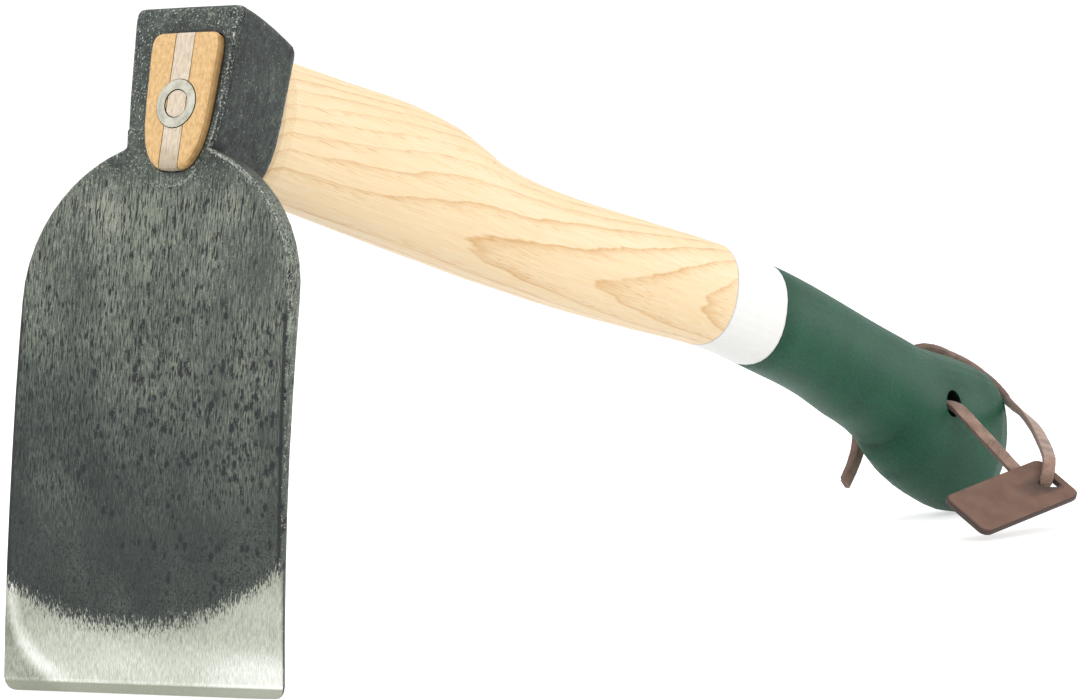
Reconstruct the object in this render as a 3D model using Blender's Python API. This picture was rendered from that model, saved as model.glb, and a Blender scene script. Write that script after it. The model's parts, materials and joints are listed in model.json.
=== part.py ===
"""Draw hoe: a forged head wedged on a short curved ash handle, with a thong and a tag at the knob.

The tool is modelled along its handle: X to the right, Y from the eye's face to the knob, Z up the face.
It is then stood on its cutting edge and on the underside of its knob. All sizes are in metres.
"""
import math

import bmesh
import bpy
import numpy as np
from mathutils import Matrix, Vector

# Eye hole, which the tenon fills
EYE_FACE_Y = 0.0025
EYE_TOP = 0.0211
EYE_BOTTOM = -0.0194
EYE_HALF_WIDTH = 0.0120
EYE_DRAFT = 4.7
EYE_TOP_POWER = 9.0
EYE_BOTTOM_POWER = 2.8
EYE_BACK_FALL = 0.0042
EYE_BACK_RISE = 0.0015
EYE_BACK_NARROWING = 0.0012

# Eye block of the head: walls round the eye, thicker on the left by twice the side shift
EYE_BLOCK_DEPTH = 0.028
WALL_TOP = 0.0084
WALL_BOTTOM = 0.0051
WALL_SIDE = 0.0059
EYE_SIDE_SHIFT = 0.00275
BLOCK_TOP = EYE_TOP + WALL_TOP
BLOCK_BOTTOM = EYE_BOTTOM - WALL_BOTTOM
BLOCK_HALF_WIDTH = EYE_HALF_WIDTH + WALL_SIDE
BLOCK_DRAFT = 4.6
BLOCK_TOP_FALL = 0.0061
BLOCK_TOP_CURVE = 1.6
BLOCK_BOTTOM_RISE = 0.0025
BLOCK_BACK_NARROWING = 0.0004
BLOCK_EDGE_RADIUS = 0.0022
BLOCK_TOP_POWER = 18.0
BLOCK_BOTTOM_POWER = 2.6

# Blade
BLADE_EDGE_Z = -0.1644
BLADE_SIDE_SHIFT = 0.0038
BLADE_EDGE_HALF_WIDTH = 0.0515
BLADE_HALF_WIDTH = 0.0497
SHOULDER_CENTRE_Z = -0.055
SHOULDER_RISE = 0.0450
SHOULDER_FILLET = 0.0015
BLADE_TOP_Z = -0.002
BLADE_ROOT_Z = -0.025
BLADE_ROOT_STEP = 0.0009
BLADE_LEAN_ROOT = math.radians(4.0)
BLADE_LEAN_EDGE = math.radians(12.9)
BLADE_THICKNESS_ROOT = 0.0067
BLADE_THICKNESS_EDGE = 0.0012
BLADE_RIM_RADIUS = 0.0016
EDGE_CORNER_RADIUS = 0.0035
EDGE_BEVEL_HEIGHT = 0.0026
EDGE_LAND = 0.0004

# Throat, the forged fillet under the eye behind the blade
THROAT_TOP_Z = -0.015
THROAT_HEIGHT = 0.036
THROAT_HALF_WIDTH = 0.0145
THROAT_FOOT_HALF_WIDTH = 0.009
THROAT_CURVE = 2.4
THROAT_SINK = 0.0015
THROAT_RISE = 0.001
THROAT_RADIUS = 0.004

# Handle
HANDLE_LENGTH = 0.4345
TENON_END_ROUND = 0.0012
SHOULDER_ROUND = 0.006
HANDLE_POWER = 2.25
KNOB_END_ROUND = 0.021
KNOB_END_POWER = 2.4
SHOULDER_INSET = 0.0033
TIP_HALF_HEIGHT = 0.0008
TIP_HALF_WIDTH = 0.0005
FIT = 0.0003

# Handle profile behind the head: share of the length, middle height, half height, half width
HANDLE_PROFILE = (
    (0.08, 0.0028, 0.0206, 0.0135),
    (0.16, 0.0034, 0.0212, 0.0138),
    (0.24, 0.0040, 0.0218, 0.0140),
    (0.29, 0.0032, 0.0208, 0.0139),
    (0.33, 0.0010, 0.0185, 0.0135),
    (0.37, 0.0005, 0.0175, 0.0132),
    (0.42, 0.0008, 0.0172, 0.0130),
    (0.52, 0.0032, 0.0170, 0.0130),
    (0.62, 0.0057, 0.0166, 0.0133),
    (0.69, 0.0049, 0.0169, 0.0136),
    (0.76, 0.0025, 0.0168, 0.0138),
    (0.79, 0.0006, 0.0174, 0.0139),
    (0.82, -0.0009, 0.0177, 0.0141),
    (0.845, -0.0027, 0.0187, 0.0144),
    (0.87, -0.0063, 0.0215, 0.0147),
    (0.92, -0.0086, 0.0246, 0.0152),
    (1.00, -0.0086, 0.0246, 0.0152),
)

# Wedges
WEDGE_THICKNESS = 0.0066
WEDGE_TIP_THICKNESS = 0.0016
WEDGE_DEPTH = 0.026
KERF_RUN_OUT = 0.004
RING_RADIUS = 0.0070
RING_BORE_RADIUS = 0.0042
RING_DEPTH = 0.016
RING_TIP_WALL = 0.0006
RING_PROUD = 0.0002

# Coats
GREEN_LENGTH = 0.1446
BAND_WIDTH = 0.0278
COAT_THICKNESS = 0.0006
GREEN_START = HANDLE_LENGTH - GREEN_LENGTH
BAND_START = GREEN_START - BAND_WIDTH

# Thong hole, thong and tag
THONG_HOLE_FROM_END = 0.0451
THONG_HOLE_Y = HANDLE_LENGTH - THONG_HOLE_FROM_END
THONG_HOLE_Z = -0.0026
THONG_HOLE_RADIUS = 0.0045
THONG_DIAMETER = 0.004
TAG_LENGTH = 0.043
TAG_WIDTH = 0.0205
TAG_THICKNESS = 0.002
TAG_CORNER_RADIUS = 0.003
TAG_HOLE_RADIUS = 0.0036
TAG_HOLE_FROM_END = 0.0050
TAG_HOLE_PLACE = Vector((0.0593, -0.0158, -0.0244))
TAG_LONG = Vector((-0.2717, -0.9453, -0.1804))
TAG_ACROSS = Vector((0.8248, -0.1322, -0.5497))
KNOT_PLACE = Vector((-0.0220, 0.0008, -0.0004))
KNOT_RADIUS = 0.0054
KNOT_FULLNESS = 0.95
KNOT_LUMP = 0.10
KNOT_LUMPS = 3
KNOT_TWIST = 2.5

# The thong's route from the middle of its hole, in the standing tool's directions
THONG_ROUTE = (
    (-0.0167, 0.0003, -0.0016),
    (-0.0120, 0.0000, -0.0016),
    (0.0000, 0.0000, -0.0006),
    (0.0080, 0.0000, 0.0001),
    (0.0126, -0.0001, -0.0002),
    (0.0162, -0.0005, -0.0015),
    (0.0194, -0.0014, -0.0036),
    (0.0248, -0.0034, -0.0074),
    (0.0322, -0.0061, -0.0126),
    (0.0405, -0.0091, -0.0185),
    (0.0463, -0.0113, -0.0226),
    (0.0495, -0.0124, -0.0248),
    (0.0514, -0.0131, -0.0262),
    (0.0538, -0.0141, -0.0270),
    (0.0563, -0.0152, -0.0265),
    (0.0581, -0.0161, -0.0249),
    (0.0591, -0.0167, -0.0234),
    (0.0600, -0.0168, -0.0210),
    (0.0601, -0.0160, -0.0186),
    (0.0595, -0.0147, -0.0170),
    (0.0580, -0.0124, -0.0161),
    (0.0547, -0.0079, -0.0151),
    (0.0483, 0.0006, -0.0135),
    (0.0368, 0.0145, -0.0101),
    (0.0249, 0.0271, -0.0072),
    (0.0128, 0.0385, -0.0045),
    (0.0092, 0.0421, -0.0034),
    (0.0055, 0.0440, -0.0014),
    (0.0024, 0.0438, 0.0016),
    (-0.0002, 0.0419, 0.0046),
    (-0.0019, 0.0381, 0.0077),
    (-0.0032, 0.0319, 0.0110),
    (-0.0033, 0.0240, 0.0139),
    (-0.0038, 0.0179, 0.0161),
    (-0.0062, 0.0134, 0.0171),
    (-0.0105, 0.0103, 0.0158),
    (-0.0150, 0.0077, 0.0122),
    (-0.0184, 0.0056, 0.0083),
    (-0.0202, 0.0039, 0.0045),
)
TAIL_ROUTES = (
    (
        (-0.0200, -0.0016, -0.0050),
        (-0.0196, -0.0042, -0.0104),
        (-0.0192, -0.0078, -0.0154),
        (-0.0190, -0.0122, -0.0202),
        (-0.0190, -0.0172, -0.0250),
    ),
    (
        (-0.0245, -0.0018, -0.0054),
        (-0.0240, -0.0038, -0.0106),
        (-0.0236, -0.0070, -0.0156),
        (-0.0234, -0.0112, -0.0204),
        (-0.0234, -0.0156, -0.0246),
    ),
)

# Facets
SIDES = 32
PLATE_CORNER_STEPS = 3
ROUTE_STEP = 0.0055
CURVE_STEPS = 12
GRIP_STEP = 0.0075
WOOD_STEP = 0.0105
HOLE_SIDES = 20
SHARP_ANGLE = math.radians(35)


def clear_scene():
    """Remove every object that the file starts with."""
    for item in list(bpy.data.objects):
        bpy.data.objects.remove(item, do_unlink=True)


def material(name, colour, roughness, metallic=0.0):
    """A plain finish in one colour."""
    finish = bpy.data.materials.new(name)
    finish.use_nodes = True
    shader = finish.node_tree.nodes["Principled BSDF"]
    shader.inputs["Base Color"].default_value = (*colour, 1.0)
    shader.inputs["Roughness"].default_value = roughness
    shader.inputs["Metallic"].default_value = metallic
    return finish


def blend(start, end, share):
    """The value that lies a share of the way from start to end."""
    return start + (end - start) * share


def signed_power(value, power):
    """A power that keeps the sign of the value."""
    return math.copysign(abs(value) ** power, value)


def shield(y, half_width, top, bottom, top_power, bottom_power, draft=0.0):
    """An outline across the tool at y, boxy or round above and below its middle, wider upwards by draft."""
    middle = (top + bottom) / 2
    half_height = (top - bottom) / 2
    outline = []
    for step in range(SIDES):
        angle = 2 * math.pi * step / SIDES
        power = top_power if math.sin(angle) >= 0 else bottom_power
        rise = half_height * signed_power(math.sin(angle), 2 / power)
        reach = half_width * signed_power(math.cos(angle), 2 / power)
        outline.append(Vector((reach * (1 + draft * rise), y, middle + rise)))
    return outline


def plate(z, half_width, front, back, radius):
    """A level rounded oblong at z, from its front line to its back line."""
    radius = min(radius, 0.45 * (back - front))
    outline = []
    corners = ((1, back, 0), (-1, back, 1), (-1, front, 2), (1, front, 3))
    for side, line, quarter in corners:
        inward = -radius if line == back else radius
        for step in range(PLATE_CORNER_STEPS + 1):
            angle = math.pi / 2 * (quarter + step / PLATE_CORNER_STEPS)
            x = side * (half_width - radius) + radius * math.cos(angle)
            outline.append(Vector((x, line + inward + radius * math.sin(angle), z)))
    return outline


def skin(mesh, rings, first_cap=True, last_cap=True):
    """Join a row of outlines into one surface, and close its ends."""
    loops = [[mesh.verts.new(point) for point in ring] for ring in rings]
    count = len(loops[0])
    for lower, upper in zip(loops, loops[1:]):
        for step in range(count):
            after = (step + 1) % count
            mesh.faces.new((lower[step], lower[after], upper[after], upper[step]))
    if first_cap:
        mesh.faces.new(loops[0][::-1])
    if last_cap:
        mesh.faces.new(loops[-1])
    return loops


def make_object(name, mesh, finish=None, parent=None):
    """Turn a mesh under construction into a named object with its faces pointing out."""
    bmesh.ops.recalc_face_normals(mesh, faces=mesh.faces)
    data = bpy.data.meshes.new(name)
    mesh.to_mesh(data)
    mesh.free()
    data.shade_smooth()
    data.set_sharp_from_angle(angle=SHARP_ANGLE)
    return place_object(bpy.data.objects.new(name, data), finish, parent)


def place_object(item, finish, parent):
    """Link an object to the scene; one with no finish is a cutter."""
    bpy.context.scene.collection.objects.link(item)
    item.parent = parent
    if finish is None:
        item.hide_render = True
        item.display_type = "WIRE"
    else:
        item.data.materials.append(finish)
    return item


def loft(name, rings, finish=None, parent=None):
    """A closed solid through a row of outlines."""
    mesh = bmesh.new()
    skin(mesh, rings)
    return make_object(name, mesh, finish, parent)


def combine(target, other, operation):
    """Cut, join or trim a target with another object."""
    modifier = target.modifiers.new(f"{operation.lower()} {other.name}", "BOOLEAN")
    modifier.operation = operation
    modifier.solver = "EXACT"
    modifier.object = other


def round_bar(name, radius, start, end, segments, parent=None):
    """A round cutter along X."""
    mesh = bmesh.new()
    turn = Matrix.Rotation(math.pi / 2, 4, "Y")
    spot = Matrix.Translation(((start.x + end.x) / 2, start.y, start.z))
    bmesh.ops.create_cone(mesh, cap_ends=True, segments=segments, radius1=radius, radius2=radius,
                          depth=end.x - start.x, matrix=spot @ turn)
    return make_object(name, mesh, parent=parent)


# Head

def eye_outline(y, clearance=0.0):
    """The eye hole at y, or the tenon in it when the clearance is negative."""
    share = (y - EYE_FACE_Y) / EYE_BLOCK_DEPTH
    return shield(y, EYE_HALF_WIDTH - EYE_BACK_NARROWING * share + clearance,
                  EYE_TOP - EYE_BACK_FALL * share + clearance,
                  EYE_BOTTOM + EYE_BACK_RISE * share - clearance,
                  EYE_TOP_POWER, EYE_BOTTOM_POWER, EYE_DRAFT)


def block_outline(y, inset=0.0):
    """The eye block at y: its top falls towards the handle in a soft curve."""
    share = (y - EYE_FACE_Y) / EYE_BLOCK_DEPTH
    return shield(y, BLOCK_HALF_WIDTH - BLOCK_BACK_NARROWING * share - inset,
                  BLOCK_TOP - BLOCK_TOP_FALL * share**BLOCK_TOP_CURVE - inset,
                  BLOCK_BOTTOM + BLOCK_BOTTOM_RISE * share + inset,
                  BLOCK_TOP_POWER, BLOCK_BOTTOM_POWER, BLOCK_DRAFT)


def block_rings():
    """Outlines of the eye block from its face to its back, with rounded rims."""
    back = EYE_FACE_Y + EYE_BLOCK_DEPTH
    turns = [math.radians(angle) for angle in (0, 30, 60, 90)]
    rim = [(BLOCK_EDGE_RADIUS * (1 - math.cos(turn)), BLOCK_EDGE_RADIUS * (1 - math.sin(turn)))
           for turn in turns]
    rings = [block_outline(EYE_FACE_Y + depth, inset) for depth, inset in rim]
    rings += [block_outline(EYE_FACE_Y + EYE_BLOCK_DEPTH * share) for share in (0.25, 0.42, 0.6, 0.78)]
    rings += [block_outline(back - depth, inset) for depth, inset in reversed(rim)]
    return rings


def blade_front(z):
    """The blade's front face: it leans back towards the user, more at the edge than at the root."""
    drop = BLADE_ROOT_Z - z
    root = math.tan(BLADE_LEAN_ROOT)
    curl = (math.tan(BLADE_LEAN_EDGE) - root) / (2 * (BLADE_ROOT_Z - BLADE_EDGE_Z))
    return EYE_FACE_Y + BLADE_ROOT_STEP + drop * root + max(drop, 0.0) ** 2 * curl


def blade_thickness(z):
    """The blade thins evenly from its root to its edge."""
    share = (z - BLADE_EDGE_Z) / (BLADE_ROOT_Z - BLADE_EDGE_Z)
    return blend(BLADE_THICKNESS_EDGE, BLADE_THICKNESS_ROOT, share)


def blade_half_width(z):
    """The blade's outline: round shoulders that run into the eye block with a fillet, then flaring sides."""
    if z < SHOULDER_CENTRE_Z:
        share = (SHOULDER_CENTRE_Z - z) / (SHOULDER_CENTRE_Z - BLADE_EDGE_Z)
        return blend(BLADE_HALF_WIDTH, BLADE_EDGE_HALF_WIDTH, share)
    rise = (z - SHOULDER_CENTRE_Z) / SHOULDER_RISE
    arc = BLADE_HALF_WIDTH * math.sqrt(max(0.0, 1 - rise * rise))
    block_middle = (BLOCK_TOP + BLOCK_BOTTOM) / 2
    inset = BLOCK_EDGE_RADIUS / 4 + BLADE_SIDE_SHIFT - EYE_SIDE_SHIFT
    block = BLOCK_HALF_WIDTH * (1 + BLOCK_DRAFT * (z - block_middle)) - inset
    return (arc + block + math.hypot(arc - block, SHOULDER_FILLET)) / 2


def blade_rings():
    """Outlines of the blade from its cutting edge up into the eye block."""
    rings = []
    for share in (0.0, 0.08, 0.25, 0.55, 1.0):
        z = BLADE_EDGE_Z + EDGE_CORNER_RADIUS * share
        corner = EDGE_CORNER_RADIUS * (1 - math.sqrt(1 - (1 - share) ** 2))
        ground = min(1.0, EDGE_CORNER_RADIUS * share / EDGE_BEVEL_HEIGHT)
        thickness = blend(EDGE_LAND, blade_thickness(z), ground)
        back = blade_front(z) + blade_thickness(z)
        rings.append(plate(z, blade_half_width(z) - corner, back - thickness, back, BLADE_RIM_RADIUS))
    low = BLADE_EDGE_Z + EDGE_CORNER_RADIUS
    heights = [blend(low, SHOULDER_CENTRE_Z, share) for share in (0.15, 0.3, 0.45, 0.6, 0.75, 0.9, 1.0)]
    crown = SHOULDER_CENTRE_Z + SHOULDER_RISE
    angles = (7, 14, 21, 28, 34, 40, 46, 51, 56, 60, 64, 68, 71, 74, 77, 80, 83, 86, 90)
    turns = [math.radians(angle) for angle in angles]
    heights += [SHOULDER_CENTRE_Z + (crown - SHOULDER_CENTRE_Z) * math.sin(turn) for turn in turns]
    heights.append(blend(crown, BLADE_TOP_Z, 0.4))
    for z in heights:
        front = blade_front(z)
        rings.append(plate(z, blade_half_width(z), front, front + blade_thickness(z), BLADE_RIM_RADIUS))
    tip = blade_front(BLADE_TOP_Z)
    rings.append(plate(BLADE_TOP_Z, 0.8 * BLOCK_HALF_WIDTH, tip + BLOCK_EDGE_RADIUS,
                       tip + blade_thickness(BLADE_TOP_Z), BLADE_RIM_RADIUS))
    return rings


def throat_rings():
    """Outlines of the fillet under the eye, from the block down the back of the blade."""
    rings = []
    reach = EYE_FACE_Y + EYE_BLOCK_DEPTH - 2 * BLOCK_EDGE_RADIUS
    for share in (0.0, 0.1, 0.22, 0.36, 0.52, 0.7, 0.86, 1.0):
        z = THROAT_TOP_Z - THROAT_HEIGHT * share
        buried = blade_front(z) + 0.6 * blade_thickness(z)
        half_width = blend(THROAT_HALF_WIDTH, THROAT_FOOT_HALF_WIDTH, share)
        spread = (reach - buried) * (1 - share) ** THROAT_CURVE
        rings.append(plate(z, half_width, buried - THROAT_SINK, buried + THROAT_RISE + spread, THROAT_RADIUS))
    return rings[::-1]


def make_head(parent, finish):
    """The forging: blade, eye block and throat in one solid, with the eye through it."""
    head = loft("hoe_head", blade_rings(), finish, parent)
    back = EYE_FACE_Y + EYE_BLOCK_DEPTH
    reach = 0.25 * EYE_BLOCK_DEPTH
    eye = [eye_outline(y) for y in (EYE_FACE_Y - reach, blend(EYE_FACE_Y, back, 0.5), back + reach)]
    for vertex in head.data.vertices:
        vertex.co.x -= BLADE_SIDE_SHIFT
    for name, rings, shift, operation in (("eye_block", block_rings(), EYE_SIDE_SHIFT, "UNION"),
                                          ("throat", throat_rings(), BLADE_SIDE_SHIFT, "UNION"),
                                          ("eye_hole", eye, 0.0, "DIFFERENCE")):
        shape = loft(f"{name}_form", rings, parent=parent)
        shape.location.x = -shift
        combine(head, shape, operation)
    return head


# Handle and coats

def profile_at(y):
    """Middle height, half height and half width of the handle at y, on a smooth curve through its profile."""
    share = y / HANDLE_LENGTH
    rows = np.array(HANDLE_PROFILE)
    index = int(np.clip(np.searchsorted(rows[:, 0], share) - 1, 0, len(rows) - 2))
    slopes = np.gradient(rows[:, 1:], rows[:, 0], axis=0)
    start, end = rows[index], rows[index + 1]
    span = end[0] - start[0]
    part = float(np.clip((share - start[0]) / span, 0.0, 1.0))
    weights = (2 * part**3 - 3 * part**2 + 1, part**3 - 2 * part**2 + part, 3 * part**2 - 2 * part**3,
               part**3 - part**2)
    return (weights[0] * start[1:] + weights[1] * span * slopes[index]
            + weights[2] * end[1:] + weights[3] * span * slopes[index + 1])


def handle_outline(y, inset=0.0):
    """The handle at y, drawn in by the inset and rounded off at the knob's end."""
    end = HANDLE_LENGTH - inset
    middle, half_height, half_width = profile_at(y)
    from_end = min(1.0, max(0.0, (y - end + KNOB_END_ROUND) / KNOB_END_ROUND))
    scale = max(0.0, 1 - from_end**KNOB_END_POWER) ** (1 / KNOB_END_POWER)
    half_height = max(TIP_HALF_HEIGHT, (half_height - inset) * scale)
    half_width = max(TIP_HALF_WIDTH, (half_width - inset) * scale)
    return shield(y, half_width, middle + half_height, middle - half_height, HANDLE_POWER, HANDLE_POWER)


def knob_heights(start, inset):
    """Places along the grip from start to the knob's end, closer together round the end."""
    end = HANDLE_LENGTH - inset
    round_start = end - KNOB_END_ROUND
    count = max(2, round((round_start - start) / GRIP_STEP))
    places = [blend(start, round_start, step / count) for step in range(count)]
    turns = [math.radians(angle) for angle in (0, 18, 35, 50, 63, 74, 83, 89)]
    return places + [round_start + KNOB_END_ROUND * math.sin(turn) for turn in turns]


def tenon_rings():
    """Outlines of the tenon from its eased end to the back of the eye."""
    rings = []
    for depth, inset in ((0.0, 1.0), (0.3, 0.35), (1.0, 0.0)):
        rings.append(eye_outline(TENON_END_ROUND * depth, -FIT - TENON_END_ROUND * inset))
    back = EYE_FACE_Y + EYE_BLOCK_DEPTH
    rings += [eye_outline(blend(EYE_FACE_Y, back, share), -FIT) for share in (0.1, 0.5)]
    rings.append(eye_outline(back + FIT, -FIT))
    return rings


def handle_rings():
    """Outlines of the wood from the tenon's end to the knob, stepped in under the coats."""
    rings = tenon_rings()
    seat = EYE_FACE_Y + EYE_BLOCK_DEPTH + FIT
    for depth, inset in ((0.02, 1.0), (0.12, 0.6), (0.4, 0.22), (1.0, 0.0)):
        rings.append(handle_outline(seat + SHOULDER_ROUND * depth, SHOULDER_INSET * inset))
    start = seat + SHOULDER_ROUND
    count = round((BAND_START - start) / WOOD_STEP)
    rings += [handle_outline(blend(start, BAND_START - FIT, step / count)) for step in range(1, count + 1)]
    core = COAT_THICKNESS + FIT
    rings += [handle_outline(y, core) for y in knob_heights(BAND_START, core)]
    return rings


def slab(half_front, half_tip, depth, front, reach):
    """A wedge-shaped slab across the tenon, thick at its front."""
    rings = []
    for y, half in ((front, half_front), (depth, half_tip)):
        corners = ((1, 1), (-1, 1), (-1, -1), (1, -1))
        rings.append([Vector((half * side, y, reach * end)) for side, end in corners])
    return rings


def ring_profile(clearance):
    """Half of the ring wedge's section: distance from its axis, and place along it."""
    front = -RING_PROUD - clearance
    tip = RING_BORE_RADIUS + RING_TIP_WALL + clearance
    bore = RING_BORE_RADIUS - clearance
    return ((RING_RADIUS + clearance, front), (tip, RING_DEPTH + clearance),
            (bore, RING_DEPTH + clearance), (bore, front))


def ring_solid(name, clearance, finish=None, parent=None):
    """The ring wedge, or the groove that it cuts when given a clearance."""
    mesh = bmesh.new()
    corners = [mesh.verts.new((distance, y, 0.0)) for distance, y in ring_profile(clearance)]
    edges = [mesh.edges.new((corners[step - 1], corners[step])) for step in range(len(corners))]
    bmesh.ops.spin(mesh, geom=corners + edges, cent=(0, 0, 0), axis=(0, 1, 0), angle=2 * math.pi, steps=SIDES,
                   use_merge=True)
    bmesh.ops.remove_doubles(mesh, verts=mesh.verts, dist=1e-6)
    return make_object(name, mesh, finish, parent)


def make_handle(parent, wood, wedge_wood, steel):
    """The ash handle with its kerf, the wood wedge in it and the ring wedge across both."""
    handle = loft("ash_handle", handle_rings(), wood, parent)
    reach = 2 * (EYE_TOP - EYE_BOTTOM)
    half, tip = WEDGE_THICKNESS / 2, WEDGE_TIP_THICKNESS / 2
    widening = (half - tip) / WEDGE_DEPTH
    kerf = slab(half + FIT + widening * KERF_RUN_OUT, tip + FIT, WEDGE_DEPTH + FIT, -KERF_RUN_OUT, reach)
    combine(handle, loft("kerf_form", kerf, parent=parent), "DIFFERENCE")
    wedge = loft("wood_wedge", slab(half, tip, WEDGE_DEPTH, 0.0, reach), wedge_wood, parent)
    combine(wedge, loft("tenon_form", tenon_rings(), parent=parent), "INTERSECT")
    groove = ring_solid("groove_form", FIT, parent=parent)
    for item in (handle, wedge):
        combine(item, groove, "DIFFERENCE")
    ring_solid("ring_wedge", 0.0, steel, parent)
    return handle


def sleeve(name, places, closed, finish, parent):
    """A coat over the wood: an outer skin, an inner skin, and a rim that joins them at each open end."""
    mesh = bmesh.new()
    outer = skin(mesh, [handle_outline(y) for y in places], first_cap=False, last_cap=closed)
    inner_places = places
    if closed:
        inner_places = knob_heights(places[0], COAT_THICKNESS)
    inner_rings = [handle_outline(y, COAT_THICKNESS) for y in inner_places]
    inner = skin(mesh, inner_rings, first_cap=False, last_cap=closed)
    rims = [(outer[0], inner[0])]
    if not closed:
        rims.append((outer[-1], inner[-1]))
    for one, other in rims:
        for step in range(SIDES):
            after = (step + 1) % SIDES
            mesh.faces.new((one[step], one[after], other[after], other[step]))
    return make_object(name, mesh, finish, parent)


def make_coats(parent, handle, white, green):
    """The white band and the green dip coat, with the thong hole drilled through coat and wood."""
    band = [blend(BAND_START, GREEN_START - FIT, share) for share in (0.0, 0.33, 0.67, 1.0)]
    sleeve("white_band", band, False, white, parent)
    coat = sleeve("green_grip_coat", knob_heights(GREEN_START, 0.0), True, green, parent)
    reach = 2 * max(row[3] for row in HANDLE_PROFILE)
    hole = round_bar("thong_hole_form", THONG_HOLE_RADIUS, Vector((-reach, THONG_HOLE_Y, THONG_HOLE_Z)),
                     Vector((reach, THONG_HOLE_Y, THONG_HOLE_Z)), HOLE_SIDES, parent)
    for item in (handle, coat):
        combine(item, hole, "DIFFERENCE")
    return coat


# Thong, knot and tag

def smooth_route(points):
    """Points at an even step along a smooth curve through a route."""
    knots = [Vector(point) for point in points]
    knots = [2 * knots[0] - knots[1]] + knots + [2 * knots[-1] - knots[-2]]
    fine = []
    for before, start, end, after in zip(knots, knots[1:], knots[2:], knots[3:]):
        for step in range(CURVE_STEPS):
            part = step / CURVE_STEPS
            fine.append(0.5 * (2 * start + (end - before) * part
                               + (2 * before - 5 * start + 4 * end - after) * part**2
                               + (3 * start - before - 3 * end + after) * part**3))
    fine.append(knots[-2])
    lengths = np.concatenate(([0.0], np.cumsum([(b - a).length for a, b in zip(fine, fine[1:])])))
    count = max(2, round(lengths[-1] / ROUTE_STEP))
    even = np.linspace(0.0, lengths[-1], count + 1)
    places = np.array(fine)
    return [Vector([np.interp(far, lengths, places[:, axis]) for axis in range(3)]) for far in even]


def make_thong(name, route, finish, parent):
    """A stretch of thong: a tube along its route with closed ends."""
    points = smooth_route(route)
    curve = bpy.data.curves.new(name, "CURVE")
    curve.dimensions = "3D"
    curve.bevel_depth = THONG_DIAMETER / 2
    curve.bevel_resolution = 2
    curve.use_fill_caps = True
    spline = curve.splines.new("POLY")
    spline.points.add(len(points) - 1)
    for slot, point in zip(spline.points, points):
        slot.co = (*point, 1.0)
    return place_object(bpy.data.objects.new(name, curve), finish, parent)


def make_knot(finish, parent):
    """The knot: a lump drawn in round its waist where the thong wraps it."""
    mesh = bmesh.new()
    bmesh.ops.create_uvsphere(mesh, u_segments=20, v_segments=12, radius=KNOT_RADIUS)
    for vertex in mesh.verts:
        side = vertex.co.normalized()
        turn = KNOT_LUMPS * math.atan2(side.y, side.x) + KNOT_TWIST * side.z
        swell = KNOT_FULLNESS - KNOT_LUMP * math.cos(turn) * (1 - side.z**2)
        vertex.co = side * KNOT_RADIUS * swell
    knot = make_object("thong_knot", mesh, finish, parent)
    knot.location = KNOT_PLACE
    return knot


def make_tag(finish, parent):
    """The tag: a leather strip with round corners and one hole near its end."""
    mesh = bmesh.new()
    spots = ((1, 1, 0), (-1, 1, 1), (-1, -1, 2), (1, -1, 3))
    half_length, half_width = TAG_LENGTH / 2, TAG_WIDTH / 2
    outline = []
    for along, across, quarter in spots:
        for step in range(5):
            angle = math.pi / 2 * (quarter + step / 4)
            outline.append((along * (half_length - TAG_CORNER_RADIUS) + TAG_CORNER_RADIUS * math.cos(angle)
                            + half_length - TAG_HOLE_FROM_END,
                            across * (half_width - TAG_CORNER_RADIUS) + TAG_CORNER_RADIUS * math.sin(angle)))
    half_thickness = TAG_THICKNESS / 2
    skin(mesh, [[Vector((x, y, level)) for x, y in outline] for level in (-half_thickness, half_thickness)])
    tag = make_object("leather_tag", mesh, finish, parent)
    hole = bmesh.new()
    bmesh.ops.create_cone(hole, cap_ends=True, segments=HOLE_SIDES, depth=4 * TAG_THICKNESS,
                          radius1=TAG_HOLE_RADIUS, radius2=TAG_HOLE_RADIUS)
    combine(tag, make_object("tag_hole_form", hole, parent=parent), "DIFFERENCE")
    return tag


# Standing the tool up

def world_points(item):
    """Every corner of an object as its modifiers leave it, before its parent is turned."""
    graph = bpy.context.evaluated_depsgraph_get()
    shape = item.evaluated_get(graph)
    return np.array([shape.matrix_world @ vertex.co for vertex in shape.data.vertices])


def lowest(points, pitch):
    """The lowest height of some points once the tool is pitched knob down."""
    return float(np.min(points[:, 2] * math.cos(pitch) - points[:, 1] * math.sin(pitch)))


def standing_pitch(head_points, knob_points):
    """The pitch at which the cutting edge and the knob touch one level floor."""
    low, high = math.radians(2), math.radians(60)
    for _ in range(50):
        pitch = (low + high) / 2
        if lowest(knob_points, pitch) > lowest(head_points, pitch):
            low = pitch
        else:
            high = pitch
    return (low + high) / 2


def stand(frame, head, coat):
    """Pitch the tool onto its edge and knob, and centre its outline over the origin."""
    bpy.context.view_layer.update()
    head_points, coat_points = world_points(head), world_points(coat)
    pitch = standing_pitch(head_points, coat_points)
    turn = np.array(Matrix.Rotation(-pitch, 3, "X"))
    turned = np.vstack((head_points, coat_points)) @ turn.T
    low, high = turned.min(axis=0), turned.max(axis=0)
    frame.rotation_euler = (-pitch, 0.0, 0.0)
    frame.location = (-(low[0] + high[0]) / 2, -(low[1] + high[1]) / 2, -low[2])
    bpy.context.view_layer.update()
    print(f"pitch {math.degrees(pitch):.3f} degrees, frame at {tuple(round(v, 5) for v in frame.location)}")


def add_empty(name, parent=None):
    """An axis mark that carries other objects."""
    mark = bpy.data.objects.new(name, None)
    bpy.context.scene.collection.objects.link(mark)
    mark.parent = parent
    return mark


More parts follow.
